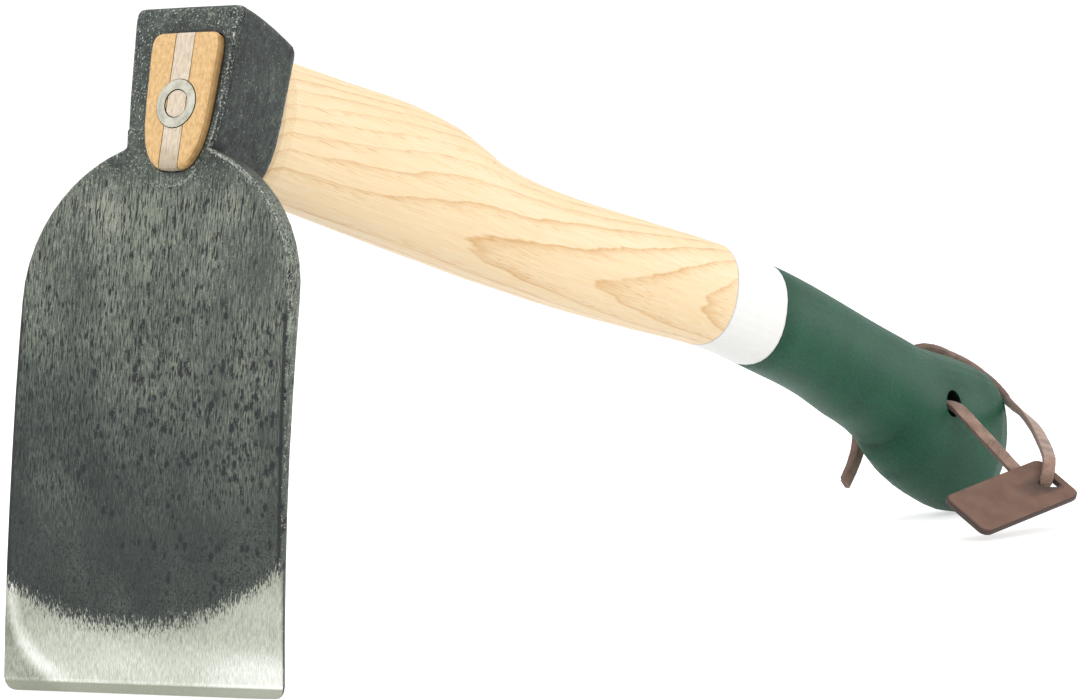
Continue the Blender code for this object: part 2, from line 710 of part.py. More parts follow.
def main():
    """Build the tool and stand it up."""
    clear_scene()
    forged_steel = material("forged_steel", (0.035, 0.042, 0.043), 0.5, 0.9)
    ash = material("ash", (0.72, 0.52, 0.29), 0.5)
    hornbeam = material("hornbeam", (0.58, 0.46, 0.38), 0.6)
    zinc_steel = material("zinc_steel", (0.55, 0.56, 0.54), 0.4, 0.9)
    white_paint = material("white_paint", (0.86, 0.86, 0.85), 0.4)
    green_paint = material("green_paint", (0.022, 0.105, 0.066), 0.4)
    thong_leather = material("thong_leather", (0.16, 0.09, 0.065), 0.8)
    tag_leather = material("tag_leather", (0.20, 0.105, 0.07), 0.65)

    frame = add_empty("hoe_frame")
    head = make_head(frame, forged_steel)
    handle = make_handle(frame, ash, hornbeam, zinc_steel)
    coat = make_coats(frame, handle, white_paint, green_paint)
    stand(frame, head, coat)

    lanyard = add_empty("lanyard_axis")
    lanyard.location = frame.matrix_world @ Vector((0.0, THONG_HOLE_Y, THONG_HOLE_Z))
    make_thong("leather_thong", THONG_ROUTE, thong_leather, lanyard)
    for number, route in enumerate(TAIL_ROUTES, start=1):
        make_thong(f"thong_tail_{number}", route, thong_leather, lanyard)
    make_knot(thong_leather, lanyard)
    tag_axis = add_empty("tag_axis", lanyard)
    along = TAG_LONG.normalized()
    across = (TAG_ACROSS - along * TAG_ACROSS.dot(along)).normalized()
    turn = Matrix((along, across, along.cross(across))).transposed().to_4x4()
    tag_axis.matrix_local = Matrix.Translation(TAG_HOLE_PLACE) @ turn
    make_tag(tag_leather, tag_axis)
    bpy.context.view_layer.update()
    print("thong hole at", tuple(round(v, 5) for v in lanyard.matrix_world.translation))
    print("tag hole at", tuple(round(v, 5) for v in tag_axis.matrix_world.translation))


main()
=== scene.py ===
"""Looks for a short draw hoe: forged head, wedged ash handle, dip-coated grip, leather lace and tag."""
import json
import logging
import math
from dataclasses import dataclass, field
from enum import Enum

import bmesh
import bpy
from mathutils import Matrix, Vector, noise

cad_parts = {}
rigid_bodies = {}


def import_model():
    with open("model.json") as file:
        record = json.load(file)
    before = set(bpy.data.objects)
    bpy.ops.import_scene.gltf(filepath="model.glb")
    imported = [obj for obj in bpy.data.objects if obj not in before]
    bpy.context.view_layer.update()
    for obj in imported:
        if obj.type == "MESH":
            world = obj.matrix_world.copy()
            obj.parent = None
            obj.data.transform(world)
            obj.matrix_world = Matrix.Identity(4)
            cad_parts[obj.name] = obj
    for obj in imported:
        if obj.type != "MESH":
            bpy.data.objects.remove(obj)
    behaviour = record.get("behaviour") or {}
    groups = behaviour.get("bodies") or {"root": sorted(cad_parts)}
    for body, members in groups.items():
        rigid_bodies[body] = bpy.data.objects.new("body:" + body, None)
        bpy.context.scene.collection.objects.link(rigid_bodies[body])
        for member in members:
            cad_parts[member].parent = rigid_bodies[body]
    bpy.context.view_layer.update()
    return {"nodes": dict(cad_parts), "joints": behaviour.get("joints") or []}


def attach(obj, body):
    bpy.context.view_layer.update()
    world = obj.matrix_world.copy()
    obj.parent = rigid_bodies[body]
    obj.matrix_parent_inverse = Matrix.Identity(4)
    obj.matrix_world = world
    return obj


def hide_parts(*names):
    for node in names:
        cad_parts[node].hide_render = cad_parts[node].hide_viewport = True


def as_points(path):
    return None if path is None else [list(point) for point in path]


log = logging.getLogger("draw_hoe")

MM = 0.001
PITCH = math.radians(18.405)
TOOL_ORIGIN = Vector((0.0038, -0.19156, 0.16402))
STEP = {"interpolation_type": "SMOOTHSTEP"}
SHARP_ANGLE = math.radians(40)
CURVE_STEPS = 24

Point = tuple[float, float, float]
Pair = tuple[float, float]


class Body(Enum):
    """The bodies that the leather pieces ride on."""

    LANYARD = "lanyard"
    TAG = "tag"


class Metalness(Enum):
    """How far a surface behaves as bare metal."""

    SCALED = 0.25
    BARE = 1.0


def linear(colour: str) -> tuple[float, float, float, float]:
    """Turn an sRGB hex colour into linear light.

    Args:
        colour: six hex digits after a hash sign.

    Returns:
        Red, green, blue and a full alpha.
    """
    parts = [int(colour[start:start + 2], 16) / 255 for start in (1, 3, 5)]
    light = [part / 12.92 if part <= 0.04045 else ((part + 0.055) / 1.055) ** 2.4 for part in parts]
    return light[0], light[1], light[2], 1.0


def per_metre(*sizes_mm: float) -> tuple[float, ...]:
    """Pattern scales for blots of a real size.

    Args:
        sizes_mm: blot size along each direction in millimetres; one size stands for all three.

    Returns:
        Blots in a metre along each direction.
    """
    sizes = sizes_mm * 3 if len(sizes_mm) == 1 else sizes_mm
    return tuple(1 / (size * MM) for size in sizes)


@dataclass
class Graph:
    """The nodes of one material or of the world."""

    tree: bpy.types.NodeTree

    def add(self, kind: str, *feeds: object, named: dict[str, object] | None = None,
            stops: tuple[tuple[float, str], ...] = (), **settings: object) -> bpy.types.Node:
        """Add a node, set it up and feed its inputs.

        Args:
            kind: the node's type, without the ShaderNode prefix.
            feeds: what goes into its inputs in order: a node, a socket or a value.
            named: the same for inputs given by name.
            stops: places and hex colours, where the node is a colour ramp.
            settings: attributes of the node itself.

        Returns:
            The new node.
        """
        node = self.tree.nodes.new("ShaderNode" + kind)
        for name, value in settings.items():
            setattr(node, name, value)
        for place, _ in stops[2:]:
            node.color_ramp.elements.new(place)
        for element, (place, colour) in zip(node.color_ramp.elements if stops else (), stops):
            element.position = place
            element.color = linear(colour)
        for name, feed in [*enumerate(feeds), *(named or {}).items()]:
            if isinstance(feed, bpy.types.Node):
                feed = feed.outputs[0]
            if isinstance(feed, bpy.types.NodeSocket):
                self.tree.links.new(feed, node.inputs[name])
            else:
                node.inputs[name].default_value = feed
        return node


@dataclass
class Surface:
    """A material under construction, with coordinates along the tool.

    X runs right, Y down the handle from the tenon's end and Z up the eye's face, all in metres.
    """

    name: str
    material: bpy.types.Material = field(init=False)
    graph: Graph = field(init=False)
    shader: bpy.types.Node = field(init=False)
    place: bpy.types.Node = field(init=False)
    parts: bpy.types.NodeOutputs = field(init=False)

    def __post_init__(self) -> None:
        """Start the material and its coordinates."""
        self.material = bpy.data.materials.new(self.name)
        self.material.use_nodes = True
        self.graph = Graph(self.material.node_tree)
        self.shader = self.material.node_tree.nodes["Principled BSDF"]
        start = -(Matrix.Rotation(PITCH, 3, "X") @ TOOL_ORIGIN)
        spot = self.graph.add("TexCoord").outputs["Object"]
        self.place = self.graph.add("Mapping", spot, start, (PITCH, 0, 0))
        self.parts = self.graph.add("SeparateXYZ", self.place).outputs

    def distance(self, one: bpy.types.Node, other: bpy.types.Node) -> bpy.types.Node:
        """Work out a distance from two legs at a right angle.

        Args:
            one: the first leg.
            other: the second leg.

        Returns:
            The straight distance.
        """
        add = self.graph.add
        square = add("Math", other, other, operation="MULTIPLY")
        square = add("Math", one, one, square, operation="MULTIPLY_ADD")
        return add("Math", square, operation="SQRT")

    def finish(self, **inputs: object) -> bpy.types.Material:
        """Feed the shader.

        Args:
            inputs: the shader's inputs by name, with underscores for spaces: a node or a value.

        Returns:
            The finished material.
        """
        for name, feed in inputs.items():
            socket = self.shader.inputs[name.replace("_", " ")]
            if isinstance(feed, bpy.types.Node):
                self.graph.tree.links.new(feed.outputs[0], socket)
            else:
                socket.default_value = feed
        return self.material


@dataclass(frozen=True)
class SteelMasks:
    """Measures, patterns and masks over the head that the layers of its finish share."""

    across: bpy.types.Node
    grit: bpy.types.Node
    blot: bpy.types.Node
    hair: bpy.types.Node
    block: bpy.types.Node
    flank: bpy.types.Node
    sides: bpy.types.Node
    smooth: bpy.types.Node
    rough: bpy.types.Node


@dataclass(frozen=True)
class ForgedSteel:
    """Drop-forged carbon steel under brushed black scale, ground bright along the edge.

    The scale is a dark green-grey oxide with upright hairlines, dashes and pits. Rims are rubbed to bare
    metal, the last stretch above the ground zone is smoother and darker, and painted shade darkens the corner
    round the tenon. A pair of places is where a soft change starts and where it is complete, apart from
    corner, which is the middle of the arc that the left glint follows.
    """

    name: str = "forged_carbon_steel"
    tones: tuple[str, ...] = ("#121715", "#363e3a", "#5c6359", "#949889")
    tinge: str = "#4a615d"
    pit_and_shade: str = "#0e1316"
    rubbed: str = "#c4c6bd"
    ground_tones: tuple[str, ...] = ("#83877b", "#bcc0b3", "#eceee7")
    land: str = "#85887a"
    centre_x: float = -0.0038
    block_z: Pair = (-0.028, -0.014)
    tone_z: Pair = (-0.105, -0.03)
    lean_z: Pair = (-0.080, -0.035)
    smooth_low_z: float = -0.1225
    smooth_rise: float = 0.012
    smooth_fade: Pair = (0.012, -0.006)
    pitted_z: Pair = (-0.045, -0.085)
    pitted_x: Pair = (-0.030, 0.015)
    rim_radius: float = 2.6 * MM
    rubbed_z: Pair = (-0.085, -0.045)
    face_y: Pair = (0.0036, 0.0029)
    shelter_reach: float = 4.5 * MM
    side_start: float = 0.04879
    side_slope: float = -0.0165
    crease_inset: float = 1.2 * MM
    crease_fade: Pair = (0.8 * MM, 0.35 * MM)
    crease_z: Pair = (-0.052, -0.062)
    half_width: float = 0.050
    bow_power: float = 2.2
    ground_low_z: float = -0.1463
    ground_rise: float = 0.0135
    ground_shift: float = -0.004
    feather_reach: float = 0.026
    feather_cut: Pair = (0.0117, 0.0140)
    shine_z: Pair = (-0.146, -0.158)
    corner: Pair = (-0.0237, -0.1361)
    corner_radius: float = 0.0250
    corner_fade: Pair = (0.001, -0.004)
    corner_x: Pair = (-0.022, -0.036)
    glint_half: float = 0.0042
    right_x: Pair = (0.018, 0.040)
    right_z: Pair = (-0.150, -0.158)
    land_z: float = -0.1618
    land_half: float = 0.3 * MM

    def dipping_line(self, surface: Surface, across: bpy.types.Node, shift: float, rise: float,
                     low_z: float) -> bpy.types.Node:
        """Lay a line across the blade that dips in the middle.

        Args:
            surface: the material under construction.
            across: sideways distance from the blade's middle.
            shift: how far from the middle the line is lowest.
            rise: how much higher it is at half the blade's width.
            low_z: its lowest height.

        Returns:
            The line's height.
        """
        add = surface.graph.add
        aside = add("Math", add("Math", across, shift, operation="SUBTRACT"), operation="ABSOLUTE")
        aside = add("Math", aside, self.half_width, operation="DIVIDE")
        bow = add("Math", aside, self.bow_power, operation="POWER")
        return add("Math", bow, rise, low_z, operation="MULTIPLY_ADD")

    def masks(self, surface: Surface) -> SteelMasks:
        """Lay out the head's regions, and the patterns that several layers read.

        Args:
            surface: the material under construction.

        Returns:
            Sideways distance, grit, slow blots and hairlines, and masks of the eye block, the right flank,
            both sides, the smooth stretch above the ground zone and the rough scale.
        """
        add, place, height = surface.graph.add, surface.place, surface.parts["Z"]
        across = add("Math", surface.parts["X"], self.centre_x, operation="SUBTRACT")
        grit = add("TexNoise", add("Mapping", place, named={"Scale": per_metre(0.6)}),
                   named={"Scale": 1.0, "Detail": 2.0, "Roughness": 0.7})
        blot = add("TexNoise", add("Mapping", place, named={"Scale": per_metre(26, 26, 38)}),
                   named={"Scale": 1.0, "Detail": 3.0, "Roughness": 0.55})
        # A brush leaves finer lines than these, which are drawn as coarse as they need to show
        hair = add("TexNoise", add("Mapping", place, named={"Scale": per_metre(0.42, 0.42, 6)}),
                   named={"Scale": 1.0, "Detail": 3.0, "Roughness": 0.65})
        facing = add("SeparateXYZ", add("TexCoord").outputs["Normal"]).outputs["X"]
        block = add("MapRange", height, *self.block_z, **STEP)
        line = self.dipping_line(surface, across, 0.0, self.smooth_rise, self.smooth_low_z)
        above = add("Math", height, line, operation="SUBTRACT")
        smooth = add("MapRange", above, *self.smooth_fade, **STEP)
        rough = add("Math", smooth, -0.5, 1.0, operation="MULTIPLY_ADD")
        return SteelMasks(
            across=across,
            grit=grit,
            blot=add("Math", blot, 0.5, operation="SUBTRACT"),
            hair=add("MapRange", hair, 0.36, 0.64, **STEP),
            block=block,
            flank=add("MapRange", facing, 0.4, 0.75, **STEP),
            sides=add("MapRange", add("Math", facing, operation="ABSOLUTE"), 0.6, 0.85, **STEP),
            smooth=smooth,
            rough=add("Math", block, -0.6, rough, operation="MULTIPLY_ADD"),
        )

    def scale_colour(self, surface: Surface, masks: SteelMasks) -> bpy.types.Node:
        """Colour the scale: lighter towards the shoulders, darker and mottled on the block.

        Args:
            surface: the material under construction.
            masks: the head's shared masks.

        Returns:
            The scale's colour, with a cool tinge in places.
        """
        add, place, height = surface.graph.add, surface.place, surface.parts["Z"]
        strokes = add("Math", masks.hair, 0.5, operation="SUBTRACT")
        grain = add("Math", masks.grit, 0.5, operation="SUBTRACT")
        mottle = add("TexNoise", add("Mapping", place, named={"Scale": per_metre(2.4, 2.4, 3.2)}),
                     named={"Scale": 1.0, "Detail": 5.0, "Roughness": 0.75})
        mottle = add("Math", mottle, 0.54, operation="SUBTRACT")
        tone = add("MapRange", height, *self.tone_z, 0.40, 0.73)
        layers = (
            (masks.block, -0.27),
            (masks.blot, 0.8),
            (add("Math", strokes, masks.rough, operation="MULTIPLY"), 0.34),
            (grain, add("MapRange", masks.block, 0.0, 1.0, 0.5, 0.9)),
            (add("Math", mottle, masks.block, operation="MULTIPLY"), 1.5),
            # Painted light on the blade's right side, painted shade on the eye block's right side
            (masks.flank, add("MapRange", masks.block, 0.0, 1.0, 0.10, -0.14)),
            (masks.across, add("MapRange", height, *self.lean_z, 2.6, -1.2)),
        )
        for layer, weight in layers:
            tone = add("Math", layer, weight, tone, operation="MULTIPLY_ADD")
        scale = add("ValToRGB", tone, stops=tuple(zip((0.0, 0.33, 0.66, 1.0), self.tones)))
        cool = add("TexNoise", add("Mapping", place, named={"Scale": per_metre(18, 18, 30)}),
                   named={"Scale": 1.0, "Detail": 2.0, "Roughness": 0.5})
        cool = add("MapRange", cool, 0.45, 0.70, 0.0, 0.45, **STEP)
        return add("MixRGB", cool, scale, linear(self.tinge), blend_type="SOFT_LIGHT")

    def specks(self, surface: Surface, masks: SteelMasks) -> bpy.types.Node:
        """Scatter dashes, ragged pits and, on the smooth stretch, fine dots.

        Args:
            surface: the material under construction.
            masks: the head's shared masks.

        Returns:
            How dark each place is. Pits are thickest in the lower right half of the blade.
        """
        add, place, height = surface.graph.add, surface.place, surface.parts["Z"]
        dash = add("TexNoise", add("Mapping", place, named={"Scale": per_metre(0.5, 0.5, 5)}),
                   named={"Scale": 1.0, "Detail": 2.0, "Roughness": 0.55})
        dash = add("Math", add("MapRange", dash, 0.55, 0.60, **STEP), masks.rough, operation="MULTIPLY")
        patchy = add("MapRange", masks.blot, -0.10, 0.02, 0.60, 1.0, **STEP)
        dash = add("Math", dash, patchy, operation="MULTIPLY")

        low = add("Math", add("MapRange", height, *self.pitted_z, **STEP), masks.rough, operation="MULTIPLY")
        crowd = add("MapRange", masks.across, *self.pitted_x, **STEP)
        crowd = add("Math", low, crowd, operation="MULTIPLY")
        spots = add("Mapping", place, named={"Scale": per_metre(1.9, 1.9, 2.9)})
        shake = masks.grit.outputs["Color"]
        ragged = add("VectorMath", shake, (0.9, 0.9, 0.9), spots, operation="MULTIPLY_ADD")
        cells = add("TexVoronoi", ragged, named={"Scale": 1.0})
        chance = add("SeparateColor", cells.outputs["Color"]).outputs
        chosen = add("Math", crowd, 0.46, chance["Green"], operation="MULTIPLY_ADD")
        chosen = add("MapRange", chosen, 0.95, 1.00, **STEP)
        radius = add("Math", chance["Red"], 0.36, 0.25, operation="MULTIPLY_ADD")
        hollow = add("Math", cells.outputs["Distance"], radius, operation="DIVIDE")
        pits = add("Math", add("MapRange", hollow, 1.2, 0.6, **STEP), chosen, operation="MULTIPLY")

        dots = add("MapRange", masks.grit, 0.51, 0.60, 0.0, 0.95, **STEP)
        dots = add("Math", dots, masks.smooth, operation="MULTIPLY")
        return add("Math", dash, add("Math", pits, dots, operation="MAXIMUM"), operation="MAXIMUM")

    def rubbing(self, surface: Surface, masks: SteelMasks, shelter: bpy.types.NodeSocket) -> bpy.types.Node:
        """Rub the upper rims to bright specks, most of all on the right, and the eye's face a little.

        Args:
            surface: the material under construction.
            masks: the head's shared masks.
            shelter: how open each place is.

        Returns:
            How far each place is rubbed.
        """
        add = surface.graph.add
        eased = add("Bevel", self.rim_radius, samples=8)
        turn = add("VectorMath", eased, add("NewGeometry").outputs["Normal"], operation="DOT_PRODUCT")
        edge = add("MapRange", turn.outputs["Value"], 0.998, 0.93, **STEP)
        right = add("MapRange", add("SeparateXYZ", eased).outputs["X"], -0.1, 0.3, 0.07, 0.25, **STEP)
        front = add("MapRange", surface.parts["Y"], *self.face_y, 0.0, 0.07, **STEP)
        wear = add("Math", edge, right, front, operation="MULTIPLY_ADD")
        wear = add("Math", wear, masks.grit, operation="ADD")
        upper = add("MapRange", surface.parts["Z"], *self.rubbed_z, **STEP)
        rub = add("Math", add("MapRange", wear, 0.66, 0.78, 0.0, 0.85, **STEP), upper, operation="MULTIPLY")
        return add("Math", rub, add("MapRange", shelter, 0.75, 0.92, **STEP), operation="MULTIPLY")

    def crease(self, surface: Surface, masks: SteelMasks) -> bpy.types.Node:
        """Paint a line of shade down both sides of the blade where face and side meet.

        Args:
            surface: the material under construction.
            masks: the head's shared masks.

        Returns:
            How dark the line is.
        """
        add, height = surface.graph.add, surface.parts["Z"]
        width = add("Math", height, self.side_slope, self.side_start, operation="MULTIPLY_ADD")
        inset = add("Math", width, add("Math", masks.across, operation="ABSOLUTE"), operation="SUBTRACT")
        inset = add("Math", add("Math", inset, self.crease_inset, operation="SUBTRACT"), operation="ABSOLUTE")
        line = add("MapRange", inset, *self.crease_fade, 0.0, 0.85, **STEP)
        return add("Math", line, add("MapRange", height, *self.crease_z, **STEP), operation="MULTIPLY")

    def chips(self, surface: Surface, masks: SteelMasks) -> bpy.types.Node:
        """Chip bright specks out of the blade's right side.

        Args:
            surface: the material under construction.
            masks: the head's shared masks.

        Returns:
            How bright the specks are.
        """
        add = surface.graph.add
        specks = add("MapRange", masks.grit, 0.60, 0.66, 0.0, 0.7, **STEP)
        specks = add("Math", specks, masks.flank, operation="MULTIPLY")
        return add("Math", specks, add("Math", 1.0, masks.block, operation="SUBTRACT"), operation="MULTIPLY")

    def ground_zone(self, surface: Surface, masks: SteelMasks) -> bpy.types.Node:
        """Mark the ground zone, whose line dips and is feathered along the hairlines.

        Args:
            surface: the material under construction.
            masks: the head's shared masks.

        Returns:
            One where the steel is ground, on the faces and not on the sides.
        """
        add, height = surface.graph.add, surface.parts["Z"]
        line = self.dipping_line(
            surface, masks.across, self.ground_shift, self.ground_rise, self.ground_low_z)
        feather = add("TexNoise", add("Mapping", surface.place, named={"Scale": per_metre(0.5, 0.5, 2.6)}),
                      named={"Scale": 1.0, "Detail": 4.0, "Roughness": 0.8})
        below = add("Math", line, height, operation="SUBTRACT")
        ground = add("Math", feather, self.feather_reach, below, operation="MULTIPLY_ADD")
        ground = add("MapRange", ground, *self.feather_cut, **STEP)
        return add("Math", ground, add("Math", 1.0, masks.sides, operation="SUBTRACT"), operation="MULTIPLY")

    def polish(self, surface: Surface, masks: SteelMasks, scratch: bpy.types.Node) -> bpy.types.Node:
        """Colour the ground zone: brighter towards the edge, with a painted glint at each corner and a dull
        land.

        Args:
            surface: the material under construction.
            masks: the head's shared masks.
            scratch: the grinding scratches.

        Returns:
            The ground steel's colour.
        """
        add, height, across = surface.graph.add, surface.parts["Z"], masks.across
        cloud = add("TexNoise", add("Mapping", surface.place, named={"Scale": per_metre(30, 30, 14)}),
                    named={"Scale": 1.0, "Detail": 1.0, "Roughness": 0.4})
        shine = add("MapRange", height, *self.shine_z, 0.40, 0.56, **STEP)
        for pattern, weight in ((cloud, 0.25), (scratch, 0.8)):
            swing = add("Math", pattern, 0.5, operation="SUBTRACT")
            shine = add("Math", swing, weight, shine, operation="MULTIPLY_ADD")

        # Painted reflection round the left corner: a bright arc, with painted shade on the steel outside it
        legs = []
        for measure, middle in zip((across, height), self.corner):
            leg = add("Math", measure, middle, operation="SUBTRACT")
            legs.append(add("Math", leg, 0.0, operation="MINIMUM"))
        reach = add("Math", self.corner_radius, surface.distance(*legs), operation="SUBTRACT")
        outside = add("MapRange", reach, *self.corner_fade, 0.0, -0.20, **STEP)
        arc = add("Math", reach, operation="ABSOLUTE")
        arc = add("MapRange", arc, self.glint_half, 0.0, 0.0, 0.24, **STEP)
        arc = add("Math", outside, arc, operation="ADD")
        left = add("Math", arc, add("MapRange", across, *self.corner_x, **STEP), operation="MULTIPLY")
        shine = add("Math", left, shine, operation="ADD")
        # Painted glint at the lower right
        right = add("MapRange", across, *self.right_x, 0.0, 0.16, **STEP)
        right = add("Math", right, add("MapRange", height, *self.right_z, **STEP), operation="MULTIPLY")
        shine = add("Math", right, shine, operation="ADD")
        bright = add("ValToRGB", shine, stops=tuple(zip((0.22, 0.5, 0.8), self.ground_tones)))
        at_land = add("MapRange", height, self.land_z + self.land_half, self.land_z - self.land_half,
                      0.0, 0.85, **STEP)
        return add("MixRGB", at_land, bright, linear(self.land))

    def make(self) -> bpy.types.Material:
        """Build the node material, layer by layer.

        Returns:
            The finished material.
        """
        surface = Surface(self.name)
        add = surface.graph.add
        masks = self.masks(surface)
        dark = self.specks(surface, masks)
        shelter = add("AmbientOcclusion", named={"Distance": self.shelter_reach}, samples=8).outputs["AO"]
        rub = self.rubbing(surface, masks, shelter)
        # Painted shade: the steel is darker where it is sheltered, in the corner round the tenon
        tenon_crevice_shade = add("MapRange", shelter, 0.93, 0.68, 0.0, 0.95, **STEP)
        layers = (
            (dark, self.pit_and_shade),
            (rub, self.rubbed),
            (add("Math", tenon_crevice_shade, masks.block, operation="MULTIPLY"), self.pit_and_shade),
            # Painted shade along the line where each face meets its side
            (self.crease(surface, masks), self.pit_and_shade),
            (self.chips(surface, masks), self.rubbed),
        )
        scale = self.scale_colour(surface, masks)
        for mask, colour in layers:
            scale = add("MixRGB", mask, scale, linear(colour))
        ground = self.ground_zone(surface, masks)
        # Grinding leaves finer scratches than these, which are drawn as coarse as they need to show
        scratch = add("TexNoise", add("Mapping", surface.place, named={"Scale": per_metre(0.4, 0.4, 14)}),
                      named={"Scale": 1.0, "Detail": 4.0, "Roughness": 0.7})
        bare = add("Math", ground, rub, operation="MAXIMUM")
        relief = add("Math", masks.hair, 0.35, operation="MULTIPLY")
        relief = add("Math", dark, -1.2, relief, operation="MULTIPLY_ADD")
        relief = add("Math", relief, add("Math", 1.0, ground, operation="SUBTRACT"), operation="MULTIPLY")
        relief = add("Math", scratch, 0.15, relief, operation="MULTIPLY_ADD")
        return surface.finish(
            Base_Color=add("MixRGB", ground, scale, self.polish(surface, masks, scratch)),
            Roughness=add("MapRange", bare, 0.0, 1.0, 0.56, 0.34),
            Metallic=add("MapRange", bare, 0.0, 1.0, Metalness.SCALED.value, Metalness.BARE.value),
            Normal=add("Bump", named={"Height": relief, "Strength": 0.6, "Distance": 0.18 * MM}),
        )


@dataclass(frozen=True)
class OiledAsh:
    """Ash, turned and sanded along the grain, then oiled.

    Pale cream latewood between golden earlywood lines that fade on one side; fine fibres run along the
    handle. The wall of the thong hole is painted dark as shade.
    """

    name: str = "oiled_ash"
    pale: str = "#f8e0b9"
    mid: str = "#f4d4a1"
    line: str = "#d39d54"
    end_pale: str = "#e2bb80"
    end_dark: str = "#bd9153"
    end_side_shade: str = "#7d5a2e"
    bore_shade: str = "#0d1512"
    ring_mm: float = 2.4
    pith: Pair = (-0.0448, 0.0465)
    tilt: Pair = (-0.110, -0.110)
    wander_depth: float = 0.0035
    shiver_depth: float = 0.0009
    roughness: float = 0.42
    tenon_length: float = 0.0042
    bore: Pair = (0.3894, -0.0026)
    bore_radius: float = 0.0050
    bore_fade: float = 0.4 * MM

    def growth(self, surface: Surface, fibre: bpy.types.Node) -> bpy.types.Node:
        """Colour the wood by growth rings round a pith outside the handle, wandering a little along it.

        Args:
            surface: the material under construction.
            fibre: the fine fibres.

        Returns:
            The long grain's colour.
        """
        add, place, along = surface.graph.add, surface.place, surface.parts["Y"]
        wander = add("TexNoise", add("Mapping", place, named={"Scale": per_metre(26, 120, 26)}),
                     named={"Scale": 1.0, "Detail": 1.0, "Roughness": 0.4})
        shiver = add("TexNoise", add("Mapping", place, named={"Scale": per_metre(3, 22, 3)}),
                     named={"Scale": 1.0, "Detail": 2.0, "Roughness": 0.5})
        legs = []
        for axis, start, lean in zip("XZ", self.pith, self.tilt):
            pith = add("Math", along, lean, start, operation="MULTIPLY_ADD")
            legs.append(add("Math", surface.parts[axis], pith, operation="SUBTRACT"))
        radius = surface.distance(*legs)
        radius = add("Math", wander, self.wander_depth, radius, operation="MULTIPLY_ADD")
        radius = add("Math", shiver, self.shiver_depth, radius, operation="MULTIPLY_ADD")
        ring = add("Math", add("Math", radius, self.ring_mm * MM, operation="DIVIDE"), operation="FRACT")
        ragged = add("Math", fibre, 0.5, operation="SUBTRACT")
        ring = add("Math", ragged, 0.16, ring, operation="MULTIPLY_ADD")
        strength = add("ValToRGB", ring, stops=(
            (0.0, "#ffffff"), (0.06, "#cccccc"), (0.22, "#666666"), (0.55, "#000000"), (0.95, "#202020"),
            (1.0, "#ffffff")))
        fade = add("TexNoise", add("Mapping", place, named={"Scale": per_metre(9, 55, 9)}),
                   named={"Scale": 1.0, "Detail": 2.0, "Roughness": 0.5})
        fade = add("MapRange", fade, 0.28, 0.68, 0.26, 0.80, **STEP)
        strength = add("Math", strength, fade, operation="MULTIPLY")
        # Vessels are finer than this in ash, and are drawn as coarse as they need to show
        vessels = add("TexNoise", add("Mapping", place, named={"Scale": per_metre(0.35, 7, 0.35)}),
                      named={"Scale": 1.0, "Detail": 1.0, "Roughness": 0.5})
        vessels = add("Math", add("MapRange", vessels, 0.54, 0.66, **STEP),
                      add("MapRange", ring, 0.60, 0.10, 0.0, 0.55, **STEP), operation="MULTIPLY")
        strength = add("Math", strength, vessels, operation="MAXIMUM")
        streak = add("ValToRGB", fibre, stops=((0.34, self.mid), (0.60, self.pale)))
        return add("MixRGB", strength, streak, linear(self.line))

    def end_grain(self, surface: Surface) -> bpy.types.Node:
        """Colour the tenon's end: golden with open pores, with painted shade on the sides of its rim.

        Args:
            surface: the material under construction.

        Returns:
            The end grain's colour.
        """
        add = surface.graph.add
        pores = add("TexNoise", add("Mapping", surface.place, named={"Scale": per_metre(1.1, 1.1, 1.8)}),
                    named={"Scale": 1.0, "Detail": 4.0, "Roughness": 0.7})
        end = add("ValToRGB", pores, stops=((0.30, self.end_dark), (0.62, self.end_pale)))
        facing = add("SeparateXYZ", add("TexCoord").outputs["Normal"]).outputs["X"]
        turned = add("MapRange", add("Math", facing, operation="ABSOLUTE"), 0.45, 0.85, 0.0, 0.6, **STEP)
        # Painted shade on the tenon's sides
        return add("MixRGB", turned, end, linear(self.end_side_shade))

    def bore_wall(self, surface: Surface) -> bpy.types.Node:
        """Mark the wall of the thong hole, where shade is painted.

        Args:
            surface: the material under construction.

        Returns:
            One on the wall.
        """
        add = surface.graph.add
        aside = add("Math", surface.parts["Y"], self.bore[0], operation="SUBTRACT")
        above = add("Math", surface.parts["Z"], self.bore[1], operation="SUBTRACT")
        reach = surface.distance(aside, above)
        return add("MapRange", reach, self.bore_radius + self.bore_fade, self.bore_radius, **STEP)

    def make(self) -> bpy.types.Material:
        """Build the node material.

        Returns:
            The finished material.
        """
        surface = Surface(self.name)
        add = surface.graph.add
        # Fibres are finer than this in ash, and are drawn as coarse as they need to show
        fibre = add("TexNoise", add("Mapping", surface.place, named={"Scale": per_metre(0.28, 16, 0.28)}),
                    named={"Scale": 1.0, "Detail": 3.0, "Roughness": 0.6})
        at_end = add("MapRange", surface.parts["Y"], self.tenon_length + MM, self.tenon_length, **STEP)
        colour = add("MixRGB", at_end, self.growth(surface, fibre), self.end_grain(surface))
        return surface.finish(
            # Painted shade inside the thong hole
            Base_Color=add("MixRGB", self.bore_wall(surface), colour, linear(self.bore_shade)),
            Roughness=self.roughness,
            Normal=add("Bump", named={"Height": fibre, "Strength": 0.2, "Distance": 0.06 * MM}),
        )


